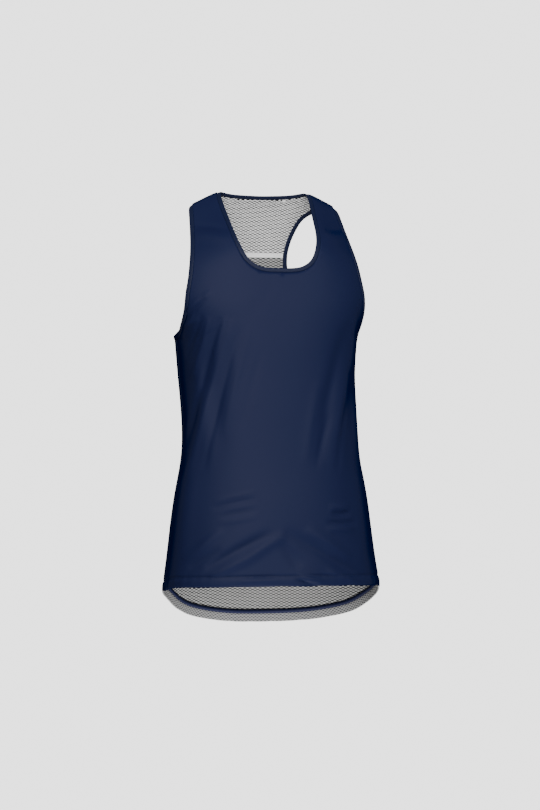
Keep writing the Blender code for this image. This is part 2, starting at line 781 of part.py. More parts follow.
def main():
    for old in list(bpy.data.objects):
        bpy.data.objects.remove(old)
    smooth_navy = cloth_material("smooth navy knit", NAVY, 0.55)
    mesh_navy = cloth_material("navy mesh knit", MESH_NAVY, 0.7)
    bound_navy = cloth_material("navy binding", BINDING_NAVY, 0.6)
    white_tape = cloth_material("white tape", TAPE_WHITE, 0.65)
    navy_tape = cloth_material("navy tape", NAVY, 0.65)
    label_white = cloth_material("white label", TAPE_WHITE, 0.5)

    left, forward = (1, 0, 0), (0, -1, 0)
    right = (-1, 0, 0)
    yoke_seam = run_at_drop(0.0, YOKE_SEAM_DROP, BACK)
    neck = bound_edge(
        NECK_EDGE, 1, left, right, [0.0], [FRONT_UPPER_ROWS, YOKE_NECK_COLUMNS]
    )
    armhole = bound_edge(
        ARMHOLE_EDGE,
        -1,
        forward,
        forward,
        [0.0, yoke_seam],
        [FRONT_UPPER_ROWS, YOKE_ROWS, BACK_UPPER_ROWS],
    )
    neck_front, neck_back = neck.panels
    arm_front, arm_yoke, arm_back = armhole.panels
    yoke_end = Vector((arm_yoke[-1].x, yoke_seam))
    front_panel(neck_front, arm_front, smooth_navy)
    back_panel(arm_back, mesh_navy)
    back_yoke(neck_back, arm_yoke, mesh_navy)

    def round_the_neck(rail):
        return rail + [Vector((-p.x, p.y)) for p in reversed(rail[1:-1])]

    binding("neck_binding", round_the_neck(neck.outer), round_the_neck(neck.inner), bound_navy)
    for name, side in (("armhole_binding_left", 1), ("armhole_binding_right", -1)):
        outer = [Vector((side * p.x, p.y)) for p in armhole.outer[:-1]]
        inner = [Vector((side * p.x, p.y)) for p in armhole.inner[:-1]]
        binding(name, outer, inner, bound_navy)
    yoke_seam_tape(yoke_end, white_tape)
    back_hem_tape(navy_tape)
    neck_label(neck.inner, label_white)


main()
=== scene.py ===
# %% Set up
import json
import math
from collections import namedtuple

import bmesh
import bpy
import numpy as np
from mathutils import Matrix, Vector
from mathutils.bvhtree import BVHTree
from mathutils.kdtree import KDTree

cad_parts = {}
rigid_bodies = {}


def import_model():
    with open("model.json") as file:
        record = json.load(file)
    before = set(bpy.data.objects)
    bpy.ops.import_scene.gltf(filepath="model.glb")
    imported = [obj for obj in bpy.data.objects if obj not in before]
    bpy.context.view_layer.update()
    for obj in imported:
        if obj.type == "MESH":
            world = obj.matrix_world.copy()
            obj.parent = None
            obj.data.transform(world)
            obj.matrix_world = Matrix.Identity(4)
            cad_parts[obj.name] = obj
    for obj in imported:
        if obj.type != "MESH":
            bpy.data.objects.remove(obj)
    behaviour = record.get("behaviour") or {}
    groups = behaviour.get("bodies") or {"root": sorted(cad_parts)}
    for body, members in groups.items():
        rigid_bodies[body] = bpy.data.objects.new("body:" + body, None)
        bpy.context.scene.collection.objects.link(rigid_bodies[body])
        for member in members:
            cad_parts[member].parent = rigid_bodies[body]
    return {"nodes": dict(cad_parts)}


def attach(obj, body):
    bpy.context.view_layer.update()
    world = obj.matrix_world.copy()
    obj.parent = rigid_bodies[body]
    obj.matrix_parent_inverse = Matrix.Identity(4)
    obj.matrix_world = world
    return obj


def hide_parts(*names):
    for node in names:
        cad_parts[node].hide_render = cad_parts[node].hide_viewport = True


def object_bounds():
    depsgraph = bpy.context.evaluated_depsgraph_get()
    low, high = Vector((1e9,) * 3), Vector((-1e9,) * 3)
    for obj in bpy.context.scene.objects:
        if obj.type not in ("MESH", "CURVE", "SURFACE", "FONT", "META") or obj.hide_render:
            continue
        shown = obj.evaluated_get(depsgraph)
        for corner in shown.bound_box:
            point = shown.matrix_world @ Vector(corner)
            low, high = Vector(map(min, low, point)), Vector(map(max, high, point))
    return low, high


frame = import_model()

MM = 0.001
CAD_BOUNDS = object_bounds()
print("CAD pieces:", ", ".join(sorted(frame["nodes"])))

# %% [markdown]
# Each panel of the singlet starts from the outer face of its CAD wall. A face belongs to it
# where the wall's other side lies a few millimetres behind it, and where it looks away from
# the hollow. Narrow faces along the border are what is left of a rim, and are taken off.
# The panel could also be lofted again from the body sections, but then it could drift away
# from the part that it stands for.

# %% Take the outer face of a wall
MERGE = 0.01 * MM                   # points nearer than this are one
THICKEST = 3.5 * MM
SKIN = 0.02 * MM
OUTWARD = 0.25                      # cosine between a face and the way out of the hollow
HOLLOW_TOP, HOLLOW_FOOT, HOLLOW_BACK = -120 * MM, -700 * MM, -30 * MM
RIM = 1.4 * MM                      # faces along the border narrower than this are rim
RIM_SIDE = 0.6                      # the share of a rim face's length that lies on the border
SHARP = math.radians(35)            # a border that turns by more has a corner there


def cad_copy(node):
    """A merged copy of a CAD solid's loose triangles, as a bmesh."""
    mesh = bmesh.new()
    mesh.from_mesh(frame["nodes"][node].data)
    bmesh.ops.remove_doubles(mesh, verts=mesh.verts, dist=MERGE)
    return mesh


def into_quads(mesh, skew):
    """Joins pairs of triangles into four-sided faces, up to a skew in radians."""
    bmesh.ops.join_triangles(
        mesh, faces=mesh.faces, angle_face_threshold=1.0, angle_shape_threshold=skew
    )


def way_out(point):
    """The direction from the middle of the hollow to a point of the cloth."""
    height = min(max(point.z, HOLLOW_FOOT), HOLLOW_TOP)
    return (point - Vector((0, HOLLOW_BACK, height))).normalized()


def islands(mesh):
    """The groups of faces that hang together."""
    left, groups = set(mesh.faces), []
    while left:
        group, ahead = [], [left.pop()]
        while ahead:
            face = ahead.pop()
            group.append(face)
            for other in {o for edge in face.edges for o in edge.link_faces} & left:
                left.remove(other)
                ahead.append(other)
        groups.append(group)
    return groups


def rim_faces(mesh):
    """Narrow faces with a long side on the border."""
    found = []
    for face in mesh.faces:
        longest = max(edge.calc_length() for edge in face.edges)
        borders = any(e.is_boundary and e.calc_length() > RIM_SIDE * longest for e in face.edges)
        if borders and 2 * face.calc_area() < RIM * longest:
            found.append(face)
    return found


def keep_corners(mesh):
    """Creases the border's sharp corners, so that subdivision leaves them where they are."""
    crease = mesh.verts.layers.float.new("crease_vert")
    for vert in mesh.verts:
        ways = [e.other_vert(vert).co - vert.co for e in vert.link_edges if e.is_boundary]
        if len(ways) == 2 and math.pi - ways[0].angle(ways[1]) > SHARP:
            vert[crease] = 1.0


def new_piece(name, mesh):
    """An object at the origin from a bmesh, which is freed."""
    data = bpy.data.meshes.new(name)
    mesh.to_mesh(data)
    mesh.free()
    piece = bpy.data.objects.new(name, data)
    bpy.context.scene.collection.objects.link(piece)
    return piece


def outer_face(node, name):
    """A new object: the outer face of a CAD wall, in quads."""
    mesh = cad_copy(node)
    tree = BVHTree.FromBMesh(mesh)
    rest = []
    for face in mesh.faces:
        centre = face.calc_center_median()
        hit = tree.ray_cast(centre - SKIN * face.normal, -face.normal, THICKEST)[0]
        if hit is None or face.normal.dot(way_out(centre)) < OUTWARD:
            rest.append(face)
    bmesh.ops.delete(mesh, geom=rest, context="FACES")
    while rim_faces(mesh):
        bmesh.ops.delete(mesh, geom=rim_faces(mesh), context="FACES")
    strays = sorted(islands(mesh), key=len)[:-1]
    bmesh.ops.delete(mesh, geom=[f for group in strays for f in group], context="FACES")
    into_quads(mesh, 1.2)
    keep_corners(mesh)
    piece = new_piece(name, mesh)
    quads = sum(len(p.vertices) == 4 for p in piece.data.polygons)
    print(name, "faces", len(piece.data.polygons), "of which quads", quads)
    return piece


front = outer_face("front_panel", "front")
back = outer_face("back_panel", "lower_back")
yoke = outer_face("back_yoke", "yoke")

# %% [markdown]
# A maker cuts each panel flat, and the mesh knit's rows of eyelets run straight across that
# flat piece. So each panel is unwrapped like a pattern piece, in real metres, with its centre
# line upright. A plain projection from the front would be simpler, but it would stretch the
# eyelets towards the sides. The same map also tells how large the cut piece is.

# %% Lay each panel flat
def corner_arrays(data):
    """The UV of every face corner, and the place of the vertex there."""
    uv = np.empty(len(data.loops) * 2)
    data.uv_layers.active.data.foreach_get("uv", uv)
    where = np.empty(len(data.vertices) * 3)
    data.vertices.foreach_get("co", where)
    corner = np.empty(len(data.loops), int)
    data.loops.foreach_get("vertex_index", corner)
    return uv.reshape(-1, 2), where.reshape(-1, 3)[corner]


def lay_flat(piece, centre_width=60 * MM):
    """Gives the piece a UV map that is its flat pattern, in metres."""
    bpy.context.view_layer.objects.active = piece
    piece.select_set(True)
    bpy.ops.object.mode_set(mode="EDIT")
    bpy.ops.mesh.select_all(action="SELECT")
    bpy.ops.uv.unwrap(method="ANGLE_BASED", margin=0.0)
    bpy.ops.object.mode_set(mode="OBJECT")
    piece.select_set(False)
    data = piece.data
    uv, where = corner_arrays(data)
    real, flat = 0.0, 0.0
    for face in data.polygons:
        p = uv[list(face.loop_indices)]
        q = np.roll(p, -1, axis=0)
        flat += abs((p[:, 0] * q[:, 1] - p[:, 1] * q[:, 0]).sum()) / 2
        real += face.area
    uv *= math.sqrt(real / flat)
    middle = abs(where[:, 0]) < centre_width
    here, there = uv[middle], where[middle][:, [0, 2]]
    here_mean, there_mean = here.mean(axis=0), there.mean(axis=0)
    left, _, right = np.linalg.svd((here - here_mean).T @ (there - there_mean))
    uv = (uv - here_mean) @ (left @ right) + there_mean
    data.uv_layers.active.data.foreach_set("uv", uv.ravel())
    size = uv.max(axis=0) - uv.min(axis=0)
    print(piece.name, "flat piece %.0f x %.0f mm, area %.4f m2" % (*(size / MM), real))
    return tuple(float(s) for s in size), float(real)


front_flat, front_area = lay_flat(front)
back_flat, back_area = lay_flat(back)
yoke_flat, yoke_area = lay_flat(yoke)

# %% [markdown]
# The CAD walls have facets about as wide as a thumb. Two rounds of subdivision make them into
# smooth cloth, fine enough for folds a centimetre wide, and still keep the panels' corners.
# A voxel remesh would make it finer still, but it would lose the flat map.

# %% Smooth the panels
def subdivide(piece, levels):
    """Smooths the piece by subdivision, and applies it."""
    modifier = piece.modifiers.new("smooth", "SUBSURF")
    modifier.levels = modifier.render_levels = levels
    modifier.boundary_smooth = "PRESERVE_CORNERS"
    modifier.uv_smooth = "PRESERVE_BOUNDARIES"
    graph = bpy.context.evaluated_depsgraph_get()
    fine = bpy.data.meshes.new_from_object(piece.evaluated_get(graph))
    piece.modifiers.clear()
    piece.data = fine
    fine.shade_smooth()
    print(piece.name, "now has", len(fine.polygons), "faces")


for piece in (front, back, yoke):
    subdivide(piece, 2)

# %% [markdown]
# The largest folds are in the CAD walls already. The smaller ones are pressed into the smooth
# cloth here: each is a soft ridge or trough along a short line, and its ends fade out. A cloth
# simulation makes folds too, but not at chosen places, so these are listed one by one. Their
# lines are read off a flat board that faces the viewer, turned a little towards the wearer's
# right, because that is how a maker would sketch them.

# %% Press in the folds
BOARD_TURN = math.radians(-17.6)
BOARD_BACK = 48 * MM

# path is a line on the board: across and height, in millimetres, as breadth and lift are
Fold = namedtuple("Fold", "path breadth lift")
FRONT_FOLDS = [
    Fold([(-135, -48), (-103, -50), (-69, -56)], 5, -0.8),
    Fold([(-137, -63), (-103, -65), (-69, -72)], 9, 1.5),
    Fold([(92, -53), (112, -52), (131, -49)], 5, -0.8),
    Fold([(92, -68), (112, -67), (135, -63)], 9, 1.5),
    Fold([(-65, -208), (-84, -259), (-108, -353), (-128, -434), (-142, -478)], 6.5, 2.4),
    Fold([(-86, -205), (-103, -263), (-122, -341), (-142, -427)], 6, -2.4),
    Fold([(-77, -205), (-89, -246), (-98, -283)], 3.5, 1.4),
    Fold([(-53, -225), (-72, -287), (-87, -348), (-103, -413), (-113, -464)], 5, -1.9),
    Fold([(-36, -225), (-53, -290), (-69, -348), (-81, -406)], 5.5, 0.9),
    Fold([(-16, -259), (-36, -331), (-50, -396)], 6, -0.6),
    Fold([(-105, -205), (-116, -253), (-135, -311)], 4.5, 1.8),
    Fold([(-116, -201), (-128, -232), (-144, -273)], 4, -1.4),
    Fold([(-130, -198), (-142, -219), (-151, -242)], 4, 1.4),
    Fold([(-151, -212), (-132, -195), (-111, -171)], 4.5, -1.8),
    Fold([(-149, -201), (-125, -181), (-98, -160)], 4.5, 1.6),
    Fold([(-152, -222), (-139, -217), (-122, -208)], 4, 1.3),
    Fold([(133, -212), (114, -273), (97, -345), (83, -451)], 10, -2.6),
    Fold([(136, -263), (124, -335), (111, -413)], 6, 1.1),
    Fold([(102, -365), (87, -413), (75, -464)], 4, -1),
    Fold([(145, -205), (141, -251), (136, -297)], 6, 1.6),
    Fold([(128, -345), (119, -413), (112, -471)], 5, -1.1),
    Fold([(80, -311), (66, -388), (58, -456)], 7, 1),
    Fold([(102, -534), (118, -537), (133, -537)], 3.6, -3.8),
    Fold([(99, -527), (133, -529)], 4, 2.8),
    Fold([(94, -552), (119, -555), (145, -553)], 3.6, -3.5),
    Fold([(94, -561), (141, -562)], 4, 2.6),
    Fold([(-99, -526), (-67, -516), (-26, -510)], 3.8, -1.7),
    Fold([(-98, -519), (-26, -502)], 4, 1.3),
    Fold([(-89, -542), (-23, -530)], 3.8, -1.5),
    Fold([(-89, -550), (-23, -538)], 4, 1.2),
    Fold([(-103, -642), (-40, -611), (-2, -586), (25, -570)], 6.5, 3.4),
    Fold([(-110, -628), (-60, -598), (1, -567)], 6, -2.8),
    Fold([(-149, -615), (-118, -593), (-82, -562)], 6.5, 2.3),
    Fold([(-139, -628), (-111, -611), (-84, -594)], 5, -1.9),
    Fold([(22, -565), (59, -586), (118, -622), (165, -649)], 8, -3.1),
    Fold([(59, -562), (97, -586), (135, -613)], 6.5, 2.8),
    Fold([(17, -584), (49, -628)], 9, -1.9),
    Fold([(94, -632), (145, -651)], 5, 2),
    Fold([(42, -646), (63, -654), (83, -657)], 3.6, -3),
    Fold([(44, -639), (87, -651)], 4, 1.9),
    Fold([(-53, -649), (15, -647)], 4, 1.4),
    Fold([(-67, -225), (-60, -294), (-64, -379)], 8, 0.7),
    Fold([(-115, -319), (-134, -439), (-149, -558), (-163, -663)], 17, 3.6),
    Fold([(145, -464), (155, -550), (162, -618)], 12, 1.6),
]
BACK_FOLDS = [
    Fold([(-70, -230), (-95, -310), (-110, -400)], 9, 2.2),
    Fold([(-50, -250), (-70, -330), (-80, -400)], 7, -1.6),
    Fold([(70, -235), (95, -315), (105, -400)], 9, 2.2),
    Fold([(52, -255), (70, -330), (78, -395)], 7, -1.6),
    Fold([(-60, -425), (0, -418), (60, -432)], 7, -2.0),
    Fold([(-60, -446), (30, -452)], 7, 1.5),
    Fold([(10, -470), (50, -468), (90, -460)], 6, -1.6),
    Fold([(-30, -560), (-42, -620), (-50, -680)], 10, 2.0),
    Fold([(40, -560), (50, -620), (55, -680)], 10, -1.8),
]
FADE = 0.6              # how soon a fold reaches its full height from its ends
WAVE_LIFT = 1.2 * MM    # the slow wave of the hems, which grows from WAVE_TOP down
WAVE_TOP, WAVE_FADE = -560 * MM, 100 * MM
WAVE_TURNS, WAVE_START = 9.0, 0.8       # radians over half the width, and at the middle
HALF_WIDTH = 190 * MM


def places_and_normals(piece):
    """The places and the normals of the piece's points, as arrays."""
    data = piece.data
    where = np.empty(len(data.vertices) * 3)
    data.vertices.foreach_get("co", where)
    normal = np.empty(len(data.vertices) * 3)
    data.vertex_normals.foreach_get("vector", normal)
    return where.reshape(-1, 3), normal.reshape(-1, 3)


def move_points(piece, where):
    """Puts each point of the piece where the array says."""
    piece.data.vertices.foreach_set("co", where.ravel())
    piece.data.update()


def on_board(where):
    """Across and height on the board, in metres."""
    across = where[:, 0] * math.cos(BOARD_TURN)
    across = across + (where[:, 1] + BOARD_BACK) * math.sin(BOARD_TURN)
    return np.stack([across, where[:, 2]], axis=1)


def fold_lift(board, folds):
    """How high all the folds together lift each point of the board."""
    lift = np.zeros(len(board))
    for fold in folds:
        path = np.array(fold.path) * MM
        runs = np.diff(path, axis=0)
        lengths = np.linalg.norm(runs, axis=1)
        before = np.concatenate([[0], np.cumsum(lengths)])
        away, share = np.full(len(board), np.inf), np.zeros(len(board))
        for start, run, length, done in zip(path, runs, lengths, before):
            along = np.clip(((board - start) @ run) / length ** 2, 0, 1)
            gap = np.linalg.norm(board - start - along[:, None] * run, axis=1)
            share = np.where(gap < away, (done + along * length) / before[-1], share)
            away = np.minimum(away, gap)
        fade = np.sin(np.pi * share) ** FADE
        lift += fold.lift * MM * np.exp(-((away / (fold.breadth * MM)) ** 2)) * fade
    return lift


def hem_wave(where):
    """The hem hangs in a slow, shallow wave that dies out above it."""
    low = np.clip((WAVE_TOP - where[:, 2]) / WAVE_FADE, 0, 1)
    return WAVE_LIFT * low * np.sin(WAVE_TURNS * where[:, 0] / HALF_WIDTH + WAVE_START)


# Where a side seam ends at the hem, its stiff layers stand out and draw the hem down, and lift
# it a little beside them. A flare is a place, the move there and its breadth, in millimetres.
Flare = namedtuple("Flare", "place move breadth")
FLARES = [
    Flare((188, -22, -664), (9.5, 0, 0), 34),
    Flare((190, -50, -666), (1, 0, -2.5), 18),
    Flare((184, -5, -682), (0, 0, 3.5), 26),
    Flare((128, -100, -662), (0, 0, -1.8), 35),
    Flare((-190, -50, -666), (-1.5, 0, -5.5), 18),
    Flare((-160, 8, -690), (0, 0, 3.5), 26),
]


def flare(where):
    """How far each point is carried by the stiff ends of the side seams."""
    carried = np.zeros(where.shape)
    for spot in FLARES:
        near = np.linalg.norm(where / MM - np.array(spot.place), axis=1) / spot.breadth
        carried += np.exp(-near * near)[:, None] * np.array(spot.move) * MM
    return carried


def press(piece, folds, strength):
    """Moves the cloth by its folds, the hem's wave and the flares."""
    where, normal = places_and_normals(piece)
    lift = fold_lift(on_board(where), folds) * strength + hem_wave(where)
    move_points(piece, where + normal * lift[:, None] + flare(where))
    print(piece.name, "folds from %.1f to %.1f mm" % (lift.min() / MM, lift.max() / MM))


press(front, FRONT_FOLDS, 1.25)
press(back, BACK_FOLDS, 1.0)

# %% [markdown]
# The border of each panel is read as one ordered loop, and every point of it is named after
# the seam or opening that it belongs to: a seam where the other panel's edge is beside it, a
# hem at the foot, and otherwise a bound edge. Picking the points by hand would work for one
# shape only, but a rule still holds when a panel changes. The trims follow these runs.

# %% Read the panels' edges
Run = namedtuple("Run", "ids points normals")


def border_loop(piece):
    """The vertices round a panel's border, in order."""
    uses = {}
    for face in piece.data.polygons:
        for key in face.edge_keys:
            uses[key] = uses.get(key, 0) + 1
    beside = {}
    for (a, b), count in uses.items():
        if count == 1:
            beside.setdefault(a, []).append(b)
            beside.setdefault(b, []).append(a)
    loop = [min(beside)]
    while len(loop) < len(beside):
        ahead = [v for v in beside[loop[-1]] if len(loop) < 2 or v != loop[-2]]
        loop.append(ahead[0])
    return loop


def line_tree(line, between=8):
    """A search tree over a closed line, with extra points between its own."""
    share = np.arange(between)[:, None, None] / between
    dense = (line * (1 - share) + np.roll(line, -1, axis=0) * share).reshape(-1, 3)
    tree = KDTree(len(dense))
    for k, point in enumerate(dense):
        tree.insert(point, k)
    tree.balance()
    return tree


NEAR = 2.2 * MM         # an edge this near to the other panel's is sewn to it
HEM_TOP = -600 * MM     # the rest of the border is hem below this height
STRAY_POINTS = 2        # a shorter run than this is only the turn of a corner


def named_runs(piece, others):
    """The border, cut into runs that all lie by one trim or one other panel."""
    where, normal = places_and_normals(piece)
    loop = border_loop(piece)
    line = where[loop]
    by = np.array(["hem"] * len(loop), dtype=object)
    for name, other in others.items():
        tree = line_tree(places_and_normals(other)[0][border_loop(other)])
        by[[tree.find(p)[2] < NEAR for p in line]] = name
    by[(line[:, 2] > HEM_TOP) & (by == "hem")] = "bound"
    start = next(i for i in range(len(loop)) if by[i] != by[i - 1])
    loop, by = loop[start:] + loop[:start], np.roll(by, -start)
    breaks = [i for i in range(len(loop)) if i == 0 or by[i] != by[i - 1]] + [len(loop)]
    runs = {}
    for a, b in zip(breaks, breaks[1:]):
        if b - a <= STRAY_POINTS:
            continue
        ids = (loop + loop[:1])[a: b + 1]
        run = Run(ids, where[ids], normal[ids])
        runs.setdefault(by[a], []).append(run)
        middle = run.points.mean(axis=0) / MM
        print(piece.name, "by", by[a], "run of", len(ids), "around", middle.round(0))
    return runs


front_runs = named_runs(front, {"lower_back": back, "yoke": yoke})
back_runs = named_runs(back, {"front": front, "yoke": yoke})
yoke_runs = named_runs(yoke, {"lower_back": back, "front": front})

# %% [markdown]
# On the real garment the panels' raw edges are caught inside the bindings, and two panels meet
# in a sewn seam that lies in a shallow groove. So each edge is pushed a little past the line
# that it is sewn on, and let down into the cloth at the seams. The CAD keeps the pieces just
# apart instead, because its solids may not overlap.

# %% Tuck the edges in
# How far an edge goes past its line, and how far it sinks, in millimetres
BOUND, SEAM, SHOULDER_SEAM, FOLDED = (1.6, 0.1), (0.7, 0.4), (0.5, 0.1), (0.0, 0.35)
TUCK = {
    "front": {"bound": BOUND, "hem": FOLDED, "lower_back": SEAM, "yoke": SHOULDER_SEAM},
    "lower_back": {"bound": BOUND, "hem": FOLDED, "front": SEAM, "yoke": SEAM},
    "yoke": {"bound": BOUND, "front": SHOULDER_SEAM, "lower_back": SEAM},
}


def off_panel(piece, run):
    """At each point of a run, the direction in the cloth that leads off the panel."""
    across = np.cross(np.gradient(run.points, axis=0), run.normals)
    across /= np.linalg.norm(across, axis=1)[:, None]
    middle = len(run.ids) // 2
    mesh = bmesh.new()
    mesh.from_mesh(piece.data)
    mesh.verts.ensure_lookup_table()
    vert = mesh.verts[int(run.ids[middle])]
    beside = sum((np.array(f.calc_center_median() - vert.co) for f in vert.link_faces), np.zeros(3))
    mesh.free()
    return across * -np.sign(across[middle] @ beside)


def tuck(piece, runs):
    """Pushes each edge past its sewing line and lets it down into the seam."""
    where, _ = places_and_normals(piece)
    for name, group in runs.items():
        spread, sink = TUCK[piece.name][name]
        for run in group:
            where[run.ids] += off_panel(piece, run) * spread * MM - run.normals * sink * MM
    move_points(piece, where)


for piece, runs in ((front, front_runs), (back, back_runs), (yoke, yoke_runs)):
    tuck(piece, runs)
print("edges tucked")

# %% [markdown]
# A sewn hem pulls a little on the cloth: there is a faint groove at the stitches, the band
# below it puffs out, and small puckers run down from the needle holes. Every point of the
# panel knows how far it is from the hem's edge, and that distance shapes all three. A bump map
# could darken the groove, but it wouldn't bend the hem's outline.

# %% Work the hems
# All in millimetres
STITCH_LINE = 16.5      # above the edge
GROOVE, GROOVE_BREADTH = 1.1, 2.4
PUFF, PUFF_BREADTH = 0.7, 6.0
PUCKER, PUCKER_LENGTH, PUCKER_BREADTH = 0.35, 15.0, 12.0
EDGE_WAVE, EDGE_LENGTH, EDGE_FADE = 0.7, 70.0, 8.0
HEM_RADIUS = 170.0      # turns an angle round the body into a length along the hem
HEM_REACH = 60.0        # nothing higher above the hem's edge than this is worked
UNTOUCHED = 1000.0


def wander(along, length, seed):
    """A slow irregular wave between -1 and 1."""
    turns = 2 * math.pi * along / length
    return (np.sin(turns + seed) + 0.6 * np.sin(1.71 * turns + 2.3 * seed)) / 1.6


def work_hem(piece, hem, seed):
    """Shapes the stitch groove, the puffed band, its puckers and the wavy edge."""
    where, normal = places_and_normals(piece)
    tree = line_tree(hem.points)
    above = np.array([tree.find(p)[2] for p in where]) / MM
    above[where[:, 2] > hem.points[:, 2].max() + HEM_REACH * MM] = UNTOUCHED
    along = np.arctan2(where[:, 0], -where[:, 1]) * HEM_RADIUS
    lift = -GROOVE * np.exp(-(((above - STITCH_LINE) / GROOVE_BREADTH) ** 2))
    lift += PUFF * np.exp(-(((above - STITCH_LINE / 2) / PUFF_BREADTH) ** 2))
    band = np.exp(-(((above - 0.7 * STITCH_LINE) / PUCKER_BREADTH) ** 2))
    lift += PUCKER * band * wander(along, PUCKER_LENGTH, seed)
    where += normal * (lift * MM)[:, None]
    drop = EDGE_WAVE * np.exp(-above / EDGE_FADE) * wander(along, EDGE_LENGTH, seed)
    where[:, 2] -= drop * MM
    move_points(piece, where)
    print(piece.name, "hem worked, lift up to %.2f mm" % abs(lift).max())


front_hem, back_hem = front_runs["hem"][0], back_runs["hem"][0]
work_hem(front, front_hem, 0.4)
work_hem(back, back_hem, 1.9)

# %% [markdown]
# Tapes, turned-up hems and seam allowances are long flat strips that lie under a panel. Each
# is laid out as a few lines along an edge, a given way in from it and a given depth below the
# cloth's face. The lines are bridged into a ribbon, and a Solidify modifier gives it thickness.
# A strip could also be cut from the panel's own faces, but a ribbon can turn round an edge.

# %% A helper for strips under the cloth
def shape_tree(*pieces):
    """A search tree over the faces of one or more pieces."""
    mesh = bmesh.new()
    for piece in pieces:
        mesh.from_mesh(piece.data)
    tree = BVHTree.FromBMesh(mesh)
    mesh.free()
    return tree


SKIN_TREE = {piece.name: shape_tree(piece) for piece in (front, back, yoke)}


def even_run(piece, run, spacing):
    """Points, directions off the panel and normals at even steps along a run."""
    off = off_panel(piece, run)
    step = np.linalg.norm(np.diff(run.points, axis=0), axis=1)
    at = np.concatenate([[0], np.cumsum(step)])
    want = np.linspace(0, at[-1], max(2, round(at[-1] / (spacing * MM)) + 1))

    def read(values):
        return np.stack([np.interp(want, at, values[:, k]) for k in range(3)], axis=1)

    return read(run.points), read(off), read(run.normals), want


def line_under(piece, stations, inset, depth):
    """A line inset from the edge by so many millimetres and so deep below the face."""
    points, off, normals, _ = stations
    line = []
    for point, away, normal in zip(points, off, normals):
        on_cloth = Vector(point - away * max(inset, 0) * MM)
        spot = SKIN_TREE[piece.name].find_nearest(on_cloth)[0]
        past = Vector(away * max(-inset, 0) * MM)
        line.append(spot + past - Vector(normal * depth * MM))
    return line


def ribbon(name, lines, across, along, depth, offset=0.0):
    """A strip through the given lines, with a UV map in metres and a thickness."""
    mesh = bmesh.new()
    uv = mesh.loops.layers.uv.new("flat")
    flat, edges = {}, []
    for line, height in zip(lines, across):
        verts = [mesh.verts.new(point) for point in line]
        flat.update({vert: (u, height * MM) for vert, u in zip(verts, along)})
        edges.append([mesh.edges.new(pair) for pair in zip(verts, verts[1:])])
    for low, high in zip(edges, edges[1:]):
        bmesh.ops.bridge_loops(mesh, edges=low + high)
    bmesh.ops.recalc_face_normals(mesh, faces=mesh.faces)
    for face in mesh.faces:
        face.smooth = True
        for loop in face.loops:
            loop[uv].uv = flat[loop.vert]
    piece = new_piece(name, mesh)
    modifier = piece.modifiers.new("cloth", "SOLIDIFY")
    modifier.thickness = depth * MM
    modifier.offset = offset
    print(name, "strip of", len(piece.data.polygons), "faces")
    return piece


def strip_under(name, piece, run, section, depth, spacing=4.0):
    """A ribbon whose section is a list of (inset, depth) in millimetres."""
    stations = even_run(piece, run, spacing)
    lines = [line_under(piece, stations, inset, below) for inset, below in section]
    across = [inset for inset, _ in section]
    return ribbon(name, lines, across, stations[3], depth)


print("faces to lay strips on:", ", ".join(SKIN_TREE))

# %% [markdown]
# The hem is the panel's own cloth, folded to the inside and stitched. The fold rounds the
# edge, and the turned part lies against the panel. The strips also cover the side seams
# and the shoulder seams on the inside, where the overlocked seam allowance lies. A narrow
# navy line lies in the groove of each side seam and shoulder seam, where the needle thread
# draws the two edges together.

# %% Turn up the hems and add the seam allowances
# Each section is a list of (way in from the edge, depth below the face), in millimetres
HEM_DEPTH = 20.0
TURNED = [(HEM_DEPTH, 1.9), (HEM_DEPTH / 2, 1.9), (1.2, 1.95), (0.1, 1.8), (-0.45, 1.2), (-0.2, 0.55)]
TAPED = [(14.0, 2.6), (17.4, 2.7), (19.9, 2.5), (20.9, 1.8)]
ALLOWANCE = [(-1.0, 1.5), (3.0, 1.55), (6.5, 1.6)]
SHOULDER = [(0.6, 1.7), (4.0, 1.7), (8.0, 1.65)]
SEAM_LINE = [(-1.8, 0.75), (0.0, 0.7), (1.8, 0.75)]

front_turned = strip_under("front_turned_hem", front, front_hem, TURNED, 0.9)
back_turned = strip_under("back_turned_hem", back, back_hem, TURNED, 0.9)
hem_tape = strip_under("hem_tape", back, back_hem, TAPED, 0.5, spacing=3.0)
side_allowances = [
    strip_under("side_allowance_%d" % k, back, run, ALLOWANCE, 0.7)
    for k, run in enumerate(back_runs["front"])
]
shoulder_allowances = [
    strip_under("shoulder_allowance_%d" % k, yoke, run, SHOULDER, 0.5)
    for k, run in enumerate(yoke_runs["front"])
]

seam_lines = [
    strip_under("%s_seam_line_%d" % (piece.name, k), piece, run, SEAM_LINE, 0.5)
    for piece, runs in ((yoke, yoke_runs), (back, back_runs))
    for k, run in enumerate(runs["front"])
]

# %% [markdown]
# The bindings are folded strips of the same knit, soft and rounded. Their CAD solids have the
# right path and the right size, but their section is a flat octagon. A merged copy is
# subdivided, which rounds it, and slight puckers across it make it a sewn strip. A bevelled
# curve would be as round, but it would have to find the path again.

# %% Round the bindings
# All in millimetres
FULLNESS = 0.45         # subdivision shrinks a section, and this gives its size back
RIPPLE, RIPPLE_LENGTH = 0.05, 6.5


def soft_copy(node, name, levels):
    """A merged and subdivided copy of a CAD solid."""
    mesh = cad_copy(node)
    into_quads(mesh, 1.5)
    piece = new_piece(name, mesh)
    subdivide(piece, levels)
    return piece


def pucker(piece):
    """Fills the binding out again, and ripples it a little along its length."""
    where, normal = places_and_normals(piece)
    along = (where[:, 0] + where[:, 1] * 0.7 + where[:, 2]) / MM
    lift = FULLNESS + RIPPLE * wander(along, RIPPLE_LENGTH, 0.7)
    move_points(piece, where + normal * (lift * MM)[:, None])


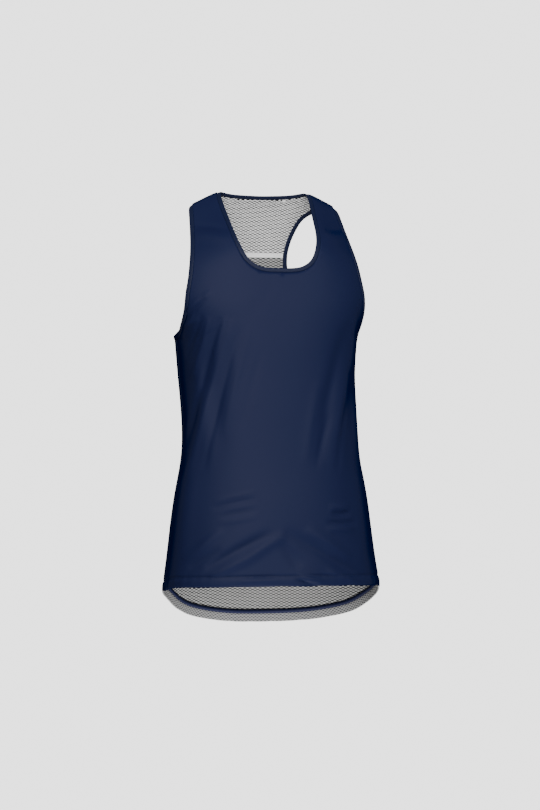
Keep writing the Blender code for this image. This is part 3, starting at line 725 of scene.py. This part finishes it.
neck_bind = soft_copy("neck_binding", "neck_trim", 2)
left_bind = soft_copy("armhole_binding_left", "left_armhole_trim", 2)
right_bind = soft_copy("armhole_binding_right", "right_armhole_trim", 2)
bindings = (neck_bind, left_bind, right_bind)
for piece in bindings:
    pucker(piece)

# %% [markdown]
# The small blank label hangs from the neck binding. Its CAD solid has the right place and is a
# little too large, so a copy of it is drawn in towards the edge that is sewn. A new plate could
# be made instead, but the copy already follows the curve of the yoke.

# %% Make the label
LABEL_NARROW, LABEL_SHORT = 0.64, 0.78
label = soft_copy("neck_label", "label", 1)
where, _ = places_and_normals(label)
sewn = np.array([where[:, 0].mean(), where[:, 1].mean(), where[:, 2].max()])
where = sewn + (where - sewn) * (LABEL_NARROW, 1, LABEL_SHORT)
move_points(label, where)
print("label is", ((where.max(axis=0) - where.min(axis=0)) / MM).round(1), "mm")

# %% [markdown]
# The hems and the bindings are stitched, in two rows side by side, as a twin needle leaves
# them. One stitch is a small stretched ball, about two and a half millimetres long, laid half
# into the cloth, and a row repeats it at even steps. Stitches could be painted on, but real
# ones stand up and catch the light.

# %% Sew
# All in millimetres
STITCH, STITCH_GAP, THREAD = 2.4, 0.9, 0.22
TWIN = 1.2                      # each needle's way from the middle of the pair
BINDING_ROWS = (-1.4, -3.6)     # the two rows on a binding, out from the panel's edge
REACH = 6.0                     # how far off the cloth a stitch is looked for


def stitch_row(name, piece, run, inset, target):
    """A row of stitches beside a run, dropped onto the target's outer face."""
    points, off, normals, _ = even_run(piece, run, STITCH + STITCH_GAP)
    spots = []
    for point, away, normal in zip(points, off, normals):
        start = Vector(point - away * inset * MM + normal * REACH * MM)
        hit = target.ray_cast(start, -Vector(normal), 2 * REACH * MM)[0]
        spots.append((hit, Vector(normal)))
    mesh = bmesh.new()
    for (here, normal), (there, _) in zip(spots, spots[1:]):
        if here is None or there is None or (there - here).length > 2 * STITCH * MM:
            continue
        along = (there - here).normalized()
        side = normal.cross(along).normalized()
        up = along.cross(side)
        turn = Matrix((along, side, up)).transposed().to_4x4()
        size = Matrix.Diagonal((STITCH / 2 * MM, THREAD * MM, THREAD * MM, 1))
        place = Matrix.Translation((here + there) / 2) @ turn @ size
        bmesh.ops.create_uvsphere(mesh, u_segments=6, v_segments=4, radius=1, matrix=place)
    for face in mesh.faces:
        face.smooth = True
    row = new_piece(name, mesh)
    print(name, "has", len(row.data.polygons), "faces")
    return row


CLOTH = shape_tree(front, back, yoke)
TRIM = shape_tree(*bindings)
navy_rows = []
for k, inset in enumerate((STITCH_LINE - TWIN, STITCH_LINE + TWIN)):
    navy_rows.append(stitch_row("front_hem_row_%d" % k, front, front_hem, inset, CLOTH))
    navy_rows.append(stitch_row("back_hem_row_%d" % k, back, back_hem, inset, CLOTH))
for part, runs in ((front, front_runs), (back, back_runs), (yoke, yoke_runs)):
    for k, run in enumerate(runs["bound"]):
        for j, inset in enumerate(BINDING_ROWS):
            name = "%s_binding_row_%d_%d" % (part.name, k, j)
            navy_rows.append(stitch_row(name, part, run, inset, TRIM))

# %% [markdown]
# Two effects are shared by several cloths, so each is a node group. The eyelets are the small
# lens-shaped holes of the mesh knit, in staggered rows, and the group gives a mask that is one
# inside a hole. The holes could be cut, but there are more than ten thousand. The grain is
# the faint unevenness of any fine knit, and gives a height.

# %% Build the shared effects
HOLE_SIZES = ("Pitch Across", "Pitch Down", "Width", "Height")
LENS_ACROSS, LENS_DOWN = 1.6, 1.8       # the powers that shape a hole's outline
HOLE_OUTSIDE, HOLE_INSIDE = 1.25, 0.55  # where its soft edge starts and ends


def add_math(tree, operation, first, second=0.0, third=0.0):
    """A Math node's output. Each operand is a number or a socket."""
    node = tree.nodes.new("ShaderNodeMath")
    node.operation = operation
    for socket, value in zip(node.inputs, (first, second, third)):
        if isinstance(value, bpy.types.NodeSocket):
            tree.links.new(value, socket)
        else:
            socket.default_value = value
    return node.outputs[0]


def add_ease(tree, value, low, high, at_low, at_high):
    """A smooth step from one value to another as the input goes from low to high."""
    ease = tree.nodes.new("ShaderNodeMapRange")
    ease.interpolation_type = "SMOOTHSTEP"
    for label, size in zip(("From Min", "From Max", "To Min", "To Max"), (low, high, at_low, at_high)):
        ease.inputs[label].default_value = size
    tree.links.new(value, ease.inputs["Value"])
    return ease.outputs["Result"]


def start_group(name, inputs, output):
    """A node group with its named sockets, and its inner ends."""
    tree = bpy.data.node_groups.new(name, "ShaderNodeTree")
    for label, kind, value in inputs:
        socket = tree.interface.new_socket(label, in_out="INPUT", socket_type=kind)
        if value is not None:
            socket.default_value = value
    tree.interface.new_socket(output, in_out="OUTPUT", socket_type="NodeSocketFloat")
    return tree, tree.nodes.new("NodeGroupInput").outputs, tree.nodes.new("NodeGroupOutput").inputs


def eyelet_group():
    """A mask of lens-shaped holes. All sizes are metres on the flat cloth."""
    inputs = [("Vector", "NodeSocketVector", None)]
    inputs += [(label, "NodeSocketFloat", 5 * MM) for label in HOLE_SIZES]
    tree, given, result = start_group("eyelets", inputs, "Hole")
    split = tree.nodes.new("ShaderNodeSeparateXYZ")
    tree.links.new(given["Vector"], split.inputs[0])
    across = add_math(tree, "DIVIDE", split.outputs["X"], given["Pitch Across"])
    down = add_math(tree, "DIVIDE", split.outputs["Y"], given["Pitch Down"])
    row = add_math(tree, "FLOOR", down)
    stagger = add_math(tree, "MULTIPLY", add_math(tree, "FLOORED_MODULO", row, 2.0), 0.5)
    in_cell = add_math(tree, "FRACT", add_math(tree, "ADD", across, stagger))
    in_row = add_math(tree, "FRACT", down)
    sides = []
    for at, pitch, size, power in (
        (in_cell, "Pitch Across", "Width", LENS_ACROSS),
        (in_row, "Pitch Down", "Height", LENS_DOWN),
    ):
        off_middle = add_math(tree, "MULTIPLY", add_math(tree, "SUBTRACT", at, 0.5), given[pitch])
        share = add_math(tree, "DIVIDE", add_math(tree, "MULTIPLY", off_middle, 2.0), given[size])
        sides.append(add_math(tree, "POWER", add_math(tree, "ABSOLUTE", share), power))
    lens = add_math(tree, "ADD", *sides)
    tree.links.new(add_ease(tree, lens, HOLE_OUTSIDE, HOLE_INSIDE, 0.0, 1.0), result["Hole"])
    return tree


def grain_group():
    """The height of a fine knit's uneven face."""
    inputs = [("Vector", "NodeSocketVector", None), ("Scale", "NodeSocketFloat", 500.0)]
    tree, given, result = start_group("knit grain", inputs, "Height")
    noise = tree.nodes.new("ShaderNodeTexNoise")
    noise.inputs["Detail"].default_value = 3.0
    noise.inputs["Roughness"].default_value = 0.55
    tree.links.new(given["Vector"], noise.inputs["Vector"])
    tree.links.new(given["Scale"], noise.inputs["Scale"])
    tree.links.new(noise.outputs[0], result["Height"])
    return tree


EYELETS, GRAIN = eyelet_group(), grain_group()
print("node groups:", EYELETS.name, "and", GRAIN.name)

# %% [markdown]
# All cloths share one recipe: a rough surface with the knit's grain, whose faint gloss dies out
# towards a grazing view, as it does between standing fibres. The mesh cloths mix in a darker
# colour at the eyelets, which are also pressed in. The knit is navy outside and left pale
# inside, as on cloth that is printed on one face. Deep in the hollow, on the front and the lower
# back, that pale is painted darker as shade, and the turned hem's grey is partly painted shade.

# %% Mix the cloths
# Facing is 0 where the cloth is seen straight on and 1 where it is seen edge on
GLOSS_FROM, GLOSS_TO = 0.42, 0.66
GLOSS, PLAIN_GLOSS = 0.23, 0.14
RELIEF, RELIEF_DEPTH = 0.35, 0.3 * MM

# The mesh knit's pitch and hole size, in millimetres, and the colour seen in a hole
Mesh = namedtuple("Mesh", "across down width height colour")


def cloth(name, colour, roughness, mesh=None, grain=0.25):
    """A knit material, with eyelets where a mesh is given."""
    material = bpy.data.materials.new(name)
    material.use_nodes = True
    tree = material.node_tree
    shader = tree.nodes["Principled BSDF"]
    shader.inputs["Base Color"].default_value = (*colour, 1)
    shader.inputs["Roughness"].default_value = roughness
    shader.inputs["Specular IOR Level"].default_value = PLAIN_GLOSS
    facing = tree.nodes.new("ShaderNodeLayerWeight").outputs["Facing"]
    gloss = add_ease(tree, facing, GLOSS_FROM, GLOSS_TO, GLOSS, 0.0)
    tree.links.new(gloss, shader.inputs["Specular IOR Level"])
    where = tree.nodes.new("ShaderNodeTexCoord")
    rough = tree.nodes.new("ShaderNodeGroup")
    rough.node_tree = GRAIN
    tree.links.new(where.outputs["Object"], rough.inputs["Vector"])
    height = add_math(tree, "MULTIPLY", rough.outputs["Height"], grain)
    if mesh:
        holes = tree.nodes.new("ShaderNodeGroup")
        holes.node_tree = EYELETS
        tree.links.new(where.outputs["UV"], holes.inputs["Vector"])
        for label, size in zip(HOLE_SIZES, mesh):
            holes.inputs[label].default_value = size * MM
        mix = tree.nodes.new("ShaderNodeMix")
        mix.data_type = "RGBA"
        mix.inputs["A"].default_value = (*colour, 1)
        mix.inputs["B"].default_value = (*mesh.colour, 1)
        tree.links.new(holes.outputs["Hole"], mix.inputs["Factor"])
        tree.links.new(mix.outputs["Result"], shader.inputs["Base Color"])
        height = add_math(tree, "SUBTRACT", height, holes.outputs["Hole"])
    bump = tree.nodes.new("ShaderNodeBump")
    bump.inputs["Strength"].default_value = RELIEF
    bump.inputs["Distance"].default_value = RELIEF_DEPTH
    tree.links.new(height, bump.inputs["Height"])
    tree.links.new(bump.outputs["Normal"], shader.inputs["Normal"])
    return material


NAVY = (0.0004, 0.0042, 0.035)
DEEP_NAVY = (0.0008, 0.003, 0.018)
# The pale of the front's and the lower back's insides is the knit's own near white painted down to
# about half, as shade deep in the hollow; the yoke's inside keeps the near white.
PALE_IN_PAINTED_SHADE, PALE_YOKE = (0.44, 0.44, 0.435), (0.92, 0.92, 0.92)
HOLE, HOLE_YOKE = (0.010, 0.010, 0.010), (0.012, 0.012, 0.012)
# The turned hem's grey band is partly the cloth's own colour and partly painted shade, at the foot of
# the hollow.
BAND_GREY_AND_SHADE, BAND_HOLE = (0.30, 0.30, 0.30), (0.02, 0.02, 0.025)

smooth_navy = cloth("smooth navy knit", NAVY, 0.66)
mesh_navy = cloth("navy mesh knit", NAVY, 0.6, mesh=Mesh(9.6, 2.1, 5.4, 1.2, DEEP_NAVY))
smooth_pale_in_painted_shade = cloth("pale inside of the smooth knit", PALE_IN_PAINTED_SHADE, 0.8)
mesh_pale_in_painted_shade = cloth("pale inside of the mesh", PALE_IN_PAINTED_SHADE, 0.8, mesh=Mesh(9.2, 2.3, 7.4, 2.3, HOLE))
yoke_pale = cloth("pale inside of the yoke", PALE_YOKE, 0.8, mesh=Mesh(8.8, 2.4, 7.2, 2.35, HOLE_YOKE))
band_grey_and_shade = cloth("grey mesh of the turned hem", BAND_GREY_AND_SHADE, 0.8, mesh=Mesh(7.0, 2.5, 4.8, 1.8, BAND_HOLE))
binding_navy = cloth("navy binding knit", (0.0013, 0.0048, 0.029), 0.6)
tape_white = cloth("white seam tape", (0.90, 0.90, 0.90), 0.75, grain=0.5)
tape_navy = cloth("navy hem tape", (0.0015, 0.004, 0.032), 0.7, grain=0.5)
label_white = cloth("blank label satin", (0.95, 0.95, 0.95), 0.45, grain=0.1)
allowance_pale = cloth("pale seam allowance", (0.85, 0.85, 0.85), 0.8, grain=0.6)
thread_navy = cloth("navy thread", (0.0014, 0.005, 0.030), 0.5, grain=0.1)
print("cloths mixed, from the", smooth_navy.name, "to the", thread_navy.name)

# %% [markdown]
# Each panel gets its thickness here, inwards from the face that was shaped, and its inner face
# takes the pale material. Then every piece gets its materials and is told which body it rides on.

WALL = 1.2 * MM


def dress(piece, slot, *materials):
    """Gives the piece its materials and the body it rides on. The slot is not used."""
    piece.data.materials.clear()
    for material in materials:
        piece.data.materials.append(material)
    for face in piece.data.polygons:
        face.material_index = 0
    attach(piece, "root")


def thicken(piece):
    """Gives a panel its thickness, inwards, with the second material inside."""
    modifier = piece.modifiers.new("cloth", "SOLIDIFY")
    modifier.thickness = WALL
    modifier.offset = -1
    modifier.material_offset = 1


for piece in (front, back, yoke):
    thicken(piece)
dress(front, "smooth_navy", smooth_navy, smooth_pale_in_painted_shade)
dress(back, "mesh_navy", mesh_navy, mesh_pale_in_painted_shade)
dress(yoke, "mesh_navy", mesh_navy, yoke_pale)
dress(front_turned, "smooth_navy", smooth_navy)
dress(back_turned, "mesh_navy", band_grey_and_shade)
dress(hem_tape, "navy_tape", tape_navy)
for piece in seam_lines:
    dress(piece, "smooth_navy", smooth_navy)
for piece in (*side_allowances, *shoulder_allowances):
    dress(piece, "mesh_navy", allowance_pale)
for piece in bindings:
    dress(piece, "binding_navy", binding_navy)
dress(label, "white_label", label_white)
for piece in navy_rows:
    dress(piece, "binding_navy", thread_navy)
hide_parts("front_panel")
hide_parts("back_panel")
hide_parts("back_yoke")
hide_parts("neck_binding")
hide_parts("armhole_binding_left")
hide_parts("armhole_binding_right")
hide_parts("back_hem_tape")
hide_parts("neck_label")
frame["nodes"]["yoke_seam_tape"].material_slots[0].material = tape_white


# The first two seam lines lie on the yoke, and the others on the lower back

# %% [markdown]
# The studio has no floor: the garment hangs before an endless sheet of pale paper. The sky
# plays the paper where the camera looks at it and gives only a weak fill elsewhere. A light
# behind draws a fine rim on the shoulders, and a wide key light stands high in front. A weak
# one lifts the lower front, and a small one below reaches up into the hem. The camera stands
# six metres away with a long lens, which keeps the garment's sides nearly parallel.

# %% Set up the studio
DISTANCE, EYE = 6.0, -353.4 * MM
SIDE_STEP = -2.0 * MM
LENS = 156.1
PAPER, SKY = 2.6, 0.24      # how bright the backdrop looks, and how much light it gives


def area_light(name, place, target, wide, high, power, spread=180):
    """A rectangular light that faces its target, with its spread in degrees."""
    data = bpy.data.lights.new(name, "AREA")
    data.spread = math.radians(spread)
    data.shape, data.size, data.size_y, data.energy = "RECTANGLE", wide, high, power
    light = bpy.data.objects.new(name, data)
    light.location = place
    light.rotation_euler = (Vector(target) - Vector(place)).to_track_quat("-Z", "Y").to_euler()
    bpy.context.scene.collection.objects.link(light)


area_light("back", (0.6, 3.4, 2.2), (0, 0, -0.35), 3.0, 1.6, 130)
area_light("key", (-0.6, -3.45, 1.4), (0, 0, -0.35), 5.4, 2.0, 265)
area_light("low", (0.2, -3.0, -1.7), (0, 0, -0.45), 1.6, 1.6, 3)
area_light("hem", (-0.03, -0.24, -1.2), (-0.01, 0.08, -0.68), 0.25, 0.25, 1.4, spread=70)

world = bpy.data.worlds.new("studio")
world.use_nodes = True
tree = world.node_tree
seen = tree.nodes.new("ShaderNodeLightPath").outputs["Is Camera Ray"]
glow = add_math(tree, "MULTIPLY_ADD", seen, PAPER - SKY, SKY)
tree.nodes["Background"].inputs["Color"].default_value = (1, 1, 1, 1)
tree.links.new(glow, tree.nodes["Background"].inputs["Strength"])
bpy.context.scene.world = world

ahead = Vector((math.sin(-BOARD_TURN), math.cos(BOARD_TURN), 0))
sideways = Vector((math.cos(BOARD_TURN), math.sin(BOARD_TURN), 0))
camera = bpy.data.objects.new("camera", bpy.data.cameras.new("camera"))
camera.data.lens = LENS
camera.location = Vector((0, -BOARD_BACK, EYE)) - ahead * DISTANCE + sideways * SIDE_STEP
camera.rotation_euler = (math.radians(90), 0, BOARD_TURN)
bpy.context.scene.collection.objects.link(camera)
bpy.context.scene.camera = camera
print("studio has", len(bpy.data.lights), "lights")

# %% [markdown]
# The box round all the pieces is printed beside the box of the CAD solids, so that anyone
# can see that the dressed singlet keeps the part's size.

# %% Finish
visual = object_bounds()
sizes = {"cad": CAD_BOUNDS, "visual": visual}
sizes = {k: [[float(c) for c in corner] for corner in box] for k, box in sizes.items()}
print(sizes)
